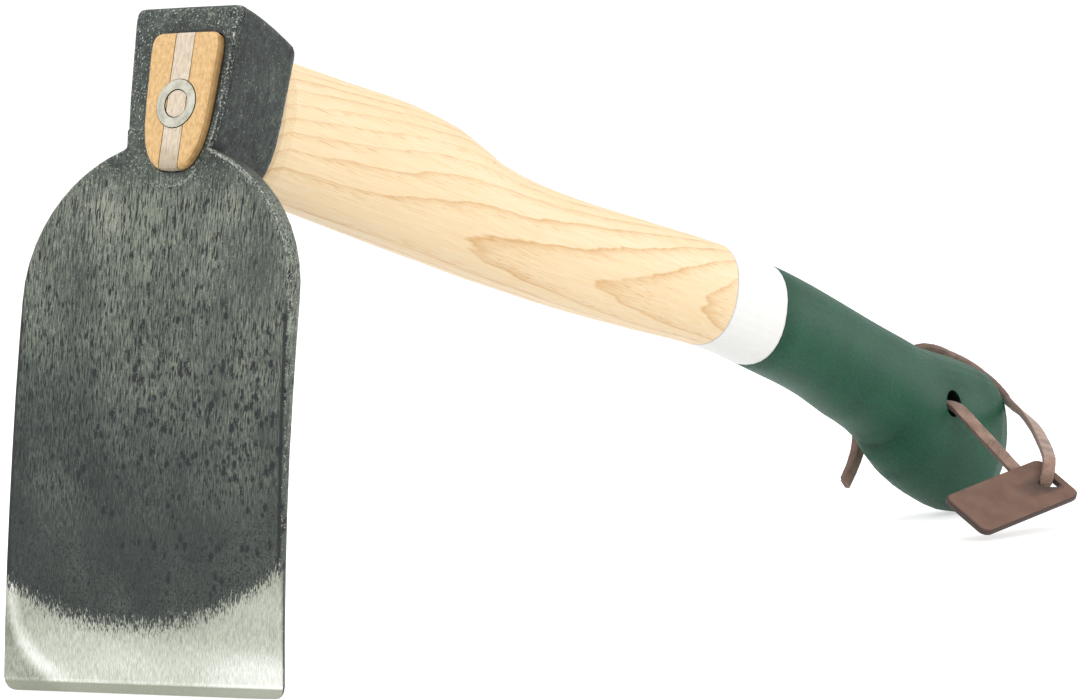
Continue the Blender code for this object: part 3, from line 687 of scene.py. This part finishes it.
@dataclass(frozen=True)
class SawnWedge:
    """Hornbeam, sawn across: pale pinkish beige with fine upright grain, darker towards its lower end."""

    name: str = "sawn_hornbeam"
    pale: str = "#e2d3be"
    dark: str = "#bda890"
    lower_end_tone: str = "#8d7f63"
    lower_end_z: Pair = (-0.010, -0.019)
    roughness: float = 0.7

    def make(self) -> bpy.types.Material:
        """Build the node material.

        Returns:
            The finished material.
        """
        surface = Surface(self.name)
        add = surface.graph.add
        grain = add("TexNoise", add("Mapping", surface.place, named={"Scale": per_metre(0.6, 3, 3)}),
                    named={"Scale": 1.0, "Detail": 4.0, "Roughness": 0.7})
        face = add("ValToRGB", grain, stops=((0.34, self.dark), (0.60, self.pale)))
        low = add("MapRange", surface.parts["Z"], *self.lower_end_z, 0.0, 0.55, **STEP)
        return surface.finish(
            Base_Color=add("MixRGB", low, face, linear(self.lower_end_tone)),
            Roughness=self.roughness,
            Normal=add("Bump", named={"Height": grain, "Strength": 0.3, "Distance": 0.1 * MM}),
        )


@dataclass(frozen=True)
class ZincSteel:
    """Zinc-plated mild steel, driven home with a hammer: matt pale grey with faint scuffs."""

    name: str = "zinc_plated_steel"
    bright: str = "#a9a79c"
    dull: str = "#8f8d82"
    roughness: float = 0.42

    def make(self) -> bpy.types.Material:
        """Build the node material.

        Returns:
            The finished material.
        """
        surface = Surface(self.name)
        add = surface.graph.add
        scuff = add("TexNoise", add("Mapping", surface.place, named={"Scale": per_metre(3.5)}),
                    named={"Scale": 1.0, "Detail": 3.0, "Roughness": 0.6})
        return surface.finish(
            Base_Color=add("ValToRGB", scuff, stops=((0.35, self.dull), (0.6, self.bright))),
            Metallic=Metalness.BARE.value,
            Roughness=self.roughness,
            Normal=add("Bump", named={"Height": scuff, "Strength": 0.2, "Distance": 0.06 * MM}),
        )


@dataclass(frozen=True)
class DipCoat:
    """Vinyl dip coat: an even satin skin that flows over the wood, with the finest orange peel."""

    name: str
    colour: str
    shade: str
    roughness: float = 0.45
    specular: float = 0.2
    flow_radius: float = 0.012

    def make(self) -> bpy.types.Material:
        """Build the node material.

        Returns:
            The finished material.
        """
        surface = Surface(self.name)
        add = surface.graph.add
        ripple = add("TexNoise", add("Mapping", surface.place, named={"Scale": per_metre(14)}),
                     named={"Scale": 1.0, "Detail": 2.0, "Roughness": 0.4})
        peel = add("TexNoise", add("Mapping", surface.place, named={"Scale": per_metre(0.7)}),
                   named={"Scale": 1.0, "Detail": 2.0, "Roughness": 0.5})
        flow = add("Bevel", self.flow_radius, samples=8)
        tone = add("Math", ripple, 0.4, peel, operation="MULTIPLY_ADD")
        relief = {"Height": peel, "Strength": 0.12, "Distance": 0.05 * MM, "Normal": flow}
        return surface.finish(
            Base_Color=add("ValToRGB", tone, stops=((0.5, self.shade), (0.9, self.colour))),
            Roughness=self.roughness,
            Specular_IOR_Level=self.specular,
            Normal=add("Bump", named=relief),
        )


@dataclass(frozen=True)
class Leather:
    """Vegetable-tanned cowhide, split or smooth, darker and denser on its cut edges."""

    name: str
    colour: str
    shade: str
    edge: str
    nap_mm: float
    roughness: float
    sheen: float

    def make(self) -> bpy.types.Material:
        """Build the node material.

        Returns:
            The finished material.
        """
        surface = Surface(self.name)
        add = surface.graph.add
        # A nap is finer than this, and is drawn as coarse as it needs to show
        nap = add("TexNoise", add("Mapping", surface.place, named={"Scale": per_metre(self.nap_mm)}),
                  named={"Scale": 1.0, "Detail": 4.0, "Roughness": 0.7})
        blot = add("TexNoise", add("Mapping", surface.place, named={"Scale": per_metre(6)}),
                   named={"Scale": 1.0, "Detail": 2.0, "Roughness": 0.5})
        tone = add("MapRange", add("Math", nap, blot, operation="ADD"), 0.7, 1.25, **STEP)
        face = add("ValToRGB", tone, stops=((0.0, self.shade), (1.0, self.colour)))
        rim = add("Attribute", attribute_name="cut_edge").outputs["Fac"]
        return surface.finish(
            Base_Color=add("MixRGB", rim, face, linear(self.edge)),
            Roughness=self.roughness,
            Sheen_Weight=self.sheen,
            Normal=add("Bump", named={"Height": nap, "Strength": 0.5, "Distance": 0.12 * MM}),
        )


def link_piece(name: str, mesh: bmesh.types.BMesh, finish: bpy.types.Material) -> bpy.types.Object:
    """Turn a mesh under construction into a shown piece.

    Args:
        name: the piece's name.
        mesh: the mesh under construction, which is freed.
        finish: its material.

    Returns:
        The new object.
    """
    bmesh.ops.recalc_face_normals(mesh, faces=mesh.faces)
    data = bpy.data.meshes.new(name)
    mesh.to_mesh(data)
    mesh.free()
    data.shade_smooth()
    data.set_sharp_from_angle(angle=SHARP_ANGLE)
    data.materials.append(finish)
    piece = bpy.data.objects.new(name, data)
    bpy.context.scene.collection.objects.link(piece)
    return piece


def skin_loops(mesh: bmesh.types.BMesh, loops: list[list[bmesh.types.BMVert]]) -> None:
    """Join closed loops of vertices into a skin.

    Args:
        mesh: the mesh under construction.
        loops: loops of the same number of vertices, in order.
    """
    for lower, upper in zip(loops, loops[1:]):
        for index, vertex in enumerate(lower):
            after = (index + 1) % len(lower)
            mesh.faces.new((vertex, lower[after], upper[after], upper[index]))


def round_oblong(length: float, width: float, corner: float, steps: int) -> list[Pair]:
    """Outline an oblong with round corners about its middle.

    Args:
        length: its size along the first direction.
        width: its size along the second.
        corner: the corners' radius.
        steps: edges in each corner.

    Returns:
        The outline's points in turn.
    """
    half, side = length / 2 - corner, width / 2 - corner
    outline = []
    for ahead, level, quarter in ((1, 1, 0), (-1, 1, 1), (-1, -1, 2), (1, -1, 3)):
        for count in range(steps + 1):
            angle = math.pi / 2 * (quarter + count / steps)
            outline.append((ahead * half + corner * math.cos(angle), level * side + corner * math.sin(angle)))
    return outline


def even_route(points: list[Vector], step: float) -> tuple[list[Vector], list[float]]:
    """Points at an even step along a smooth curve through a route.

    Args:
        points: the route's points.
        step: the distance between points.

    Returns:
        The denser points, and where each lies among the route's points.
    """
    knots = [2 * points[0] - points[1], *points, 2 * points[-1] - points[-2]]
    fine = []
    for before, start, end, after in zip(knots, knots[1:], knots[2:], knots[3:]):
        for count in range(CURVE_STEPS):
            part = count / CURVE_STEPS
            bend = (2 * before - 5 * start + 4 * end - after) * part**2
            twist = (3 * start - before - 3 * end + after) * part**3
            fine.append(0.5 * (2 * start + (end - before) * part + bend + twist))
    fine.append(points[-1])
    far = [0.0]
    for one, other in zip(fine, fine[1:]):
        far.append(far[-1] + (other - one).length)
    total = max(2, round(far[-1] / step))
    even, places, index = [], [], 0
    for count in range(total + 1):
        aim = far[-1] * count / total
        while index < len(far) - 2 and far[index + 1] < aim:
            index += 1
        share = (aim - far[index]) / (far[index + 1] - far[index])
        even.append(fine[index].lerp(fine[index + 1], share))
        places.append((index + share) / CURVE_STEPS)
    return even, places


def side_at(sides: dict[int, Vector], place: float) -> Vector:
    """The way a lace's flat side looks at a place on its route.

    Args:
        sides: that way at some of the route's points, the first and the last among them.
        place: a place among the route's points.

    Returns:
        The way in between.
    """
    low = max(key for key in sides if key <= place + 1e-6)
    high = min((key for key in sides if key > low), default=low)
    share = (place - low) / (high - low) if high > low else 0.0
    return sides[low].lerp(sides[high], share)


@dataclass
class Lace:
    """Flat leather lace: its section and how it is drawn along a route."""

    width: float = 0.0042
    thickness: float = 0.0020
    corner: float = 0.0005
    corner_steps: int = 3
    step: float = 0.0009
    fuzz: float = 0.05
    fuzz_along: float = 900.0
    fuzz_round: float = 3000.0
    edge_dark: float = 0.75
    edge_share: float = 0.2

    def draw(self, name: str, route: list[Vector], sides: dict[int, Vector],
             finish: bpy.types.Material) -> tuple[bpy.types.Object, list[Vector]]:
        """Sweep the lace's rounded oblong section along a route.

        Args:
            name: the piece's name.
            route: points that the lace follows, in the row frame.
            sides: the way that the flat side looks at some of those points.
            finish: its material.

        Returns:
            The piece, and the centre points that it follows.
        """
        path, places = even_route(route, self.step)
        section = round_oblong(self.width, self.thickness, self.corner, self.corner_steps)
        edge_from = self.width / 2 - self.edge_share * self.corner
        mesh = bmesh.new()
        rim = mesh.verts.layers.float.new("cut_edge")
        loops = []
        for index, (point, place) in enumerate(zip(path, places)):
            ahead = (path[min(index + 1, len(path) - 1)] - path[max(index - 1, 0)]).normalized()
            up = side_at(sides, place)
            up = (up - ahead * up.dot(ahead)).normalized()
            right = ahead.cross(up)
            loop = []
            for across, rise in section:
                spot = point * self.fuzz_along + Vector((across, rise, 0)) * self.fuzz_round
                swell = 1 + self.fuzz * noise.noise(spot)
                vertex = mesh.verts.new(point + (right * across + up * rise) * swell)
                vertex[rim] = self.edge_dark if abs(across) > edge_from else 0.0
                loop.append(vertex)
            loops.append(loop)
        skin_loops(mesh, loops)
        mesh.faces.new(loops[0][::-1])
        mesh.faces.new(loops[-1])
        return link_piece(name, mesh, finish), path


@dataclass
class Tag:
    """The leather tag: round corners, one round hole, pressed edges and a slight curl."""

    hole: Vector
    length: float = 0.043
    width: float = 0.0205
    thickness: float = 0.002
    corner: float = 0.003
    corner_steps: int = 8
    hole_radius: float = 0.0036
    hole_from_end: float = 0.0050
    bevel: float = 0.00035
    curl: float = 0.0009
    curl_level: float = 0.45
    face_rows: tuple[float, ...] = (0.03, 0.35, 0.7)
    along: Point = (-0.2717, -0.9453, -0.1804)
    across: Point = (0.8248, -0.1322, -0.5497)

    def turn(self) -> Matrix:
        """Turn the tag's own directions into the row frame.

        Returns:
            A rotation whose columns run along the tag, across it and out of its face.
        """
        along = Vector(self.along).normalized()
        across = Vector(self.across)
        across = (across - along * across.dot(along)).normalized()
        return Matrix((along, across, along.cross(across))).transposed()

    def build(self, finish: bpy.types.Material) -> bpy.types.Object:
        """Make the tag.

        Args:
            finish: its material.

        Returns:
            The tag.
        """
        turn = self.turn()
        half = self.length / 2
        centre = half - self.hole_from_end
        oblong = round_oblong(self.length, self.width, self.corner, self.corner_steps)
        outer = [(x + centre, y) for x, y in oblong]
        inner = []
        for x, y in outer:
            reach = math.hypot(x, y)
            inner.append((self.hole_radius * x / reach, self.hole_radius * y / reach))
        inset = 1 - 2 * self.bevel / self.thickness
        mesh = bmesh.new()
        rim = mesh.verts.layers.float.new("cut_edge")
        shells = []
        for outline, base, pull in ((outer, centre, -self.bevel), (inner, 0.0, self.bevel)):
            rows = []
            for level, eased in ((-1, pull), (-inset, 0.0), (inset, 0.0), (1, pull)):
                row = []
                for x, y in outline:
                    grow = 1 + eased / math.hypot(x - base, y)
                    spot = Vector(((x - base) * grow + base, y * grow, level * self.thickness / 2))
                    spot.z += self.curl * (((spot.x - centre) / half) ** 2 - self.curl_level)
                    vertex = mesh.verts.new(self.hole + turn @ spot)
                    vertex[rim] = 1.0
                    row.append(vertex)
                rows.append(row)
            skin_loops(mesh, rows)
            shells.append(rows)
        for level in (0, -1):
            rows = [shells[0][level]]
            for share in self.face_rows:
                rows.append([mesh.verts.new(one.co.lerp(other.co, share))
                             for one, other in zip(shells[0][level], shells[1][level])])
            skin_loops(mesh, [*rows, shells[1][level]])
        return link_piece("hide_tag", mesh, finish)


@dataclass
class Lanyard:
    """The leather lace through the knob, its knot and tails, and the tag on it.

    Routes are measured from the middle of the thong hole.
    """

    hole: Vector
    tag: Tag
    lace: Lace = field(default_factory=Lace)
    knot_lace: Lace = field(default_factory=lambda: Lace(width=0.0027, thickness=0.0019, step=0.0006))
    length: float = 0.240
    leaves_at: Point = (-0.0158, 0.0, -0.0016)
    hug: float = 0.0004
    lies_from: int = 24
    lies_to: int = 37
    lies_ease: int = 3
    knot_place: Vector = field(default_factory=lambda: Vector((-0.0220, 0.0008, -0.0004)))
    knot_size: float = 0.00118
    knot_depth: float = 1.1
    knot_points: int = 37
    route: tuple[Point, ...] = (
        (-0.0167, 0.0003, -0.0016), (-0.0120, 0.0000, -0.0016), (0.0000, 0.0000, -0.0006),
        (0.0080, 0.0000, 0.0001), (0.0126, -0.0001, -0.0002), (0.0162, -0.0005, -0.0015),
        (0.0194, -0.0014, -0.0036), (0.0248, -0.0034, -0.0074), (0.0322, -0.0061, -0.0126),
        (0.0405, -0.0091, -0.0185), (0.0463, -0.0113, -0.0226), (0.0495, -0.0124, -0.0248),
        (0.0514, -0.0131, -0.0262), (0.0538, -0.0141, -0.0270), (0.0563, -0.0152, -0.0265),
        (0.0581, -0.0161, -0.0249), (0.0591, -0.0167, -0.0234), (0.0600, -0.0168, -0.0210),
        (0.0601, -0.0160, -0.0186), (0.0595, -0.0147, -0.0170), (0.0580, -0.0124, -0.0161),
        (0.0547, -0.0079, -0.0151), (0.0483, 0.0006, -0.0135), (0.0368, 0.0145, -0.0101),
        (0.0249, 0.0271, -0.0072), (0.0128, 0.0385, -0.0045), (0.0092, 0.0421, -0.0034),
        (0.0055, 0.0440, -0.0014), (0.0024, 0.0438, 0.0016), (-0.0002, 0.0419, 0.0046),
        (-0.0019, 0.0381, 0.0077), (-0.0032, 0.0319, 0.0110), (-0.0033, 0.0240, 0.0139),
        (-0.0038, 0.0179, 0.0161), (-0.0062, 0.0134, 0.0171), (-0.0105, 0.0103, 0.0158),
        (-0.0150, 0.0077, 0.0122), (-0.0184, 0.0056, 0.0083), (-0.0202, 0.0039, 0.0045),
    )
    flat_sides: tuple[tuple[int, Point], ...] = (
        (0, (0, 0, 1)), (4, (0, 0, 1)), (6, (0.54, -0.52, 0.66)), (11, (0.54, -0.46, 0.70)),
        (13, (0.06, -0.13, 0.95)), (14, (-0.42, 0.09, 0.86)), (15, (-0.78, 0.27, 0.56)),
        (16, (-0.63, 0.77, 0.19)), (17, (-0.77, 0.80, -0.22)), (18, (-0.73, 0.63, -0.58)),
        (19, (-0.56, 0.37, -0.79)), (22, (-0.52, 0.30, -0.82)), (23, (-0.50, 0.00, -0.85)),
        (25, (-0.35, -0.75, -0.50)), (27, (-0.05, -0.95, -0.30)), (29, (0.35, -0.75, -0.55)),
        (31, (0.70, -0.40, -0.60)), (33, (0.70, -0.25, -0.65)), (35, (0.75, -0.20, -0.60)),
        (37, (0.90, -0.10, -0.40)), (38, (0.90, -0.10, -0.30)),
    )
    tails: tuple[tuple[Point, ...], ...] = (
        ((-0.0200, -0.0016, -0.0050), (-0.0196, -0.0042, -0.0104), (-0.0192, -0.0078, -0.0154),
         (-0.0190, -0.0122, -0.0202), (-0.0190, -0.0172, -0.0250)),
        ((-0.0245, -0.0010, -0.0054), (-0.0236, -0.0014, -0.0106), (-0.0228, -0.0042, -0.0156),
         (-0.0223, -0.0082, -0.0204), (-0.0221, -0.0126, -0.0246)),
    )
    tail_side: Point = (1, 0, 0)

    def lace_route(self, sides: dict[int, Vector]) -> list[Vector]:
        """The lace's route, let down onto the knob where it lies on it.

        Args:
            sides: the way that the flat side looks at some of the route's points.

        Returns:
            The route in the row frame.
        """
        points = []
        for index, point in enumerate(self.route):
            inside = min(index - self.lies_from, self.lies_to - index) / self.lies_ease
            share = max(0.0, min(1.0, inside))
            points.append(self.hole + Vector(point) + side_at(sides, index).normalized() * self.hug * share)
        return points

    def knot_route(self) -> list[Vector]:
        """The loop that an overhand knot makes when it is pulled tight.

        Returns:
            The loop in the row frame.
        """
        centre = self.hole + self.knot_place
        points = []
        for count in range(self.knot_points):
            turn = 2 * math.pi * count / self.knot_points
            points.append(centre + self.knot_size * Vector((
                math.sin(turn) + 2 * math.sin(2 * turn), -self.knot_depth * math.sin(3 * turn),
                math.cos(turn) - 2 * math.cos(2 * turn))))
        return points

    def build(self, suede: bpy.types.Material, hide: bpy.types.Material) -> None:
        """Args:
            suede: the lace's material.
            hide: the tag's material.
        """
        sides = {index: Vector(side) for index, side in self.flat_sides}
        lace, path = self.lace.draw("suede_lace", self.lace_route(sides), sides, suede)
        knot_path = self.knot_route()
        outward = {index: point - self.hole - self.knot_place for index, point in enumerate(knot_path)}
        knot, _ = self.knot_lace.draw("overhand_knot", knot_path, outward, suede)
        tails = []
        for number, points in enumerate(self.tails, start=1):
            route = [self.hole + Vector(point) for point in points]
            level = {index: Vector(self.tail_side) for index in (0, len(points) - 1)}
            tail, _ = self.lace.draw(f"lace_tail_{number}", route, level, suede)
            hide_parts(f"thong_tail_{number}")
            tails.append(tail)
        tag = self.tag.build(hide)
        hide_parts("leather_thong")
        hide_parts("thong_knot")
        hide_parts("leather_tag")
        for piece in (lace, knot, *tails):
            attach(piece, Body.LANYARD.value)
            log.info("%s rides on the %s", piece.name, Body.LANYARD.value)
        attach(tag, Body.TAG.value)
        log.info("%s rides on the %s", tag.name, Body.TAG.value)
        self.hole + Vector(self.leaves_at)
        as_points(path)
        total = sum((after - before).length for before, after in zip(path, path[1:]))
        log.info("lace %.4f m long", total)


Finish = ForgedSteel | OiledAsh | SawnWedge | ZincSteel | DipCoat


@dataclass
class Tool:
    """The rigid pieces of the hoe, which keep their shape and take a finish."""

    finishes: dict[str, Finish] = field(default_factory=lambda: {
        "hoe_head": ForgedSteel(),
        "ash_handle": OiledAsh(),
        "wood_wedge": SawnWedge(),
        "ring_wedge": ZincSteel(),
        "white_band": DipCoat("white_vinyl_dip", "#f7f7f5", "#f2f2ef", flow_radius=0.0015),
        "green_grip_coat": DipCoat("green_vinyl_dip", "#205a41", "#174532"),
    })

    def build(self, nodes: dict[str, bpy.types.Object]) -> None:
        """Dress every rigid node.

        Args:
            nodes: the frame's objects by node name.
        """
        for name, finish in self.finishes.items():
            item = nodes[name]
            item.data.materials.clear()
            item.data.materials.append(finish.make())
            log.info("%s dressed in %s", name, finish.name)


@dataclass
class Studio:
    """Camera, floor and soft light."""

    place: Vector = field(default_factory=lambda: Vector((1.0962, -1.4843, 0.2203)))
    right: Vector = field(default_factory=lambda: Vector((0.80113, 0.59491, -0.06549)))
    up: Vector = field(default_factory=lambda: Vector((0.00576, 0.10176, 0.99480)))
    lens: float = 200.0
    sensor: float = 36.0
    world_light: float = 0.75
    floor_glow: float = 0.55
    floor_radius: float = 40.0
    floor_drop: float = 0.3 * MM
    paper: str = "#e9e9e9"
    aim: Point = (0.0, 0.0, 0.08)
    lamps: tuple[tuple[str, Point, float, float], ...] = (
        ("key", (-0.9, -1.3, 1.5), 1.2, 14.0),
        ("fill", (1.6, -0.6, 0.9), 1.4, 8.0),
        ("top", (0.1, 0.1, 1.9), 1.6, 6.0),
        ("rim", (0.42, 0.72, 0.22), 0.4, 1.0),
    )

    def make_camera(self) -> None:
        """Stand the camera where the photograph was taken."""
        data = bpy.data.cameras.new("camera")
        data.lens = self.lens
        data.sensor_width = self.sensor
        data.sensor_fit = "HORIZONTAL"
        camera = bpy.data.objects.new("camera", data)
        back = self.right.cross(self.up)
        turn = Matrix((self.right, self.up, back)).transposed().to_4x4()
        camera.matrix_world = Matrix.Translation(self.place) @ turn
        bpy.context.scene.collection.objects.link(camera)
        bpy.context.scene.camera = camera

    @staticmethod
    def seen_rays(graph: Graph) -> bpy.types.Node:
        """Tell the rays that show the backdrop from those that light the object.

        Args:
            graph: the nodes of the floor or of the world.

        Returns:
            One for a ray from the camera, straight or by way of a gloss or a clear piece.
        """
        seen = graph.add("LightPath").outputs
        rays = graph.add("Math", seen["Is Camera Ray"], seen["Is Glossy Ray"], operation="MAXIMUM")
        return graph.add("Math", rays, seen["Is Transmission Ray"], operation="MAXIMUM")

    def make_floor(self) -> None:
        """Lay a pale floor that reads white and keeps a soft shadow."""
        mesh = bmesh.new()
        bmesh.ops.create_circle(mesh, cap_ends=True, segments=64, radius=self.floor_radius)
        material = bpy.data.materials.new("white_paper")
        material.use_nodes = True
        tree = material.node_tree
        tree.nodes.remove(tree.nodes["Principled BSDF"])
        graph = Graph(tree)
        strength = graph.add("Math", self.seen_rays(graph), self.floor_glow, operation="MULTIPLY")
        glow = graph.add("Emission", (1, 1, 1, 1), strength)
        both = graph.add("AddShader", glow, graph.add("BsdfDiffuse", linear(self.paper)))
        tree.links.new(both.outputs[0], tree.nodes["Material Output"].inputs["Surface"])
        floor = link_piece("floor", mesh, material)
        floor.location.z = -self.floor_drop

    def make_light(self) -> None:
        """Light the scene with an even white surround and large soft lamps."""
        world = bpy.data.worlds.new("studio")
        bpy.context.scene.world = world
        world.use_nodes = True
        graph = Graph(world.node_tree)
        strength = graph.add("MapRange", self.seen_rays(graph), 0.0, 1.0, self.world_light, 1.0)
        surround = world.node_tree.nodes["Background"]
        surround.inputs["Color"].default_value = (1, 1, 1, 1)
        world.node_tree.links.new(strength.outputs[0], surround.inputs["Strength"])
        for name, place, size, power in self.lamps:
            data = bpy.data.lights.new(name, "AREA")
            data.shape = "DISK"
            data.size = size
            data.energy = power
            lamp = bpy.data.objects.new(name, data)
            lamp.location = place
            aim = Vector(self.aim) - lamp.location
            lamp.rotation_euler = aim.to_track_quat("-Z", "Y").to_euler()
            bpy.context.scene.collection.objects.link(lamp)

    def build(self) -> None:
        """Set up the view and the light."""
        self.make_camera()
        self.make_floor()
        self.make_light()
        bpy.context.scene.view_settings.view_transform = "Standard"
        log.info("studio ready")


def main() -> None:
    """Load the frame, dress the tool, add the soft pieces and light the scene."""
    logging.basicConfig(level=logging.INFO, format="%(message)s")
    for item in list(bpy.data.objects):
        bpy.data.objects.remove(item, do_unlink=True)
    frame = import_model()
    Studio().build()
    suede = Leather("suede_split", "#ac8d7d", "#785e51", "#5d473d", 0.4, 0.9, 0.25).make()
    hide = Leather("smooth_hide", "#755644", "#634537", "#3e2b23", 0.4, 0.6, 0.05).make()
    holes = {joint["name"]: Vector(joint["pos_m"]) for joint in frame["joints"]}
    Lanyard(holes["lanyard_swing"], Tag(holes["tag_swing"])).build(suede, hide)
    Tool().build(frame["nodes"])


if __name__ == "__main__":
    main()
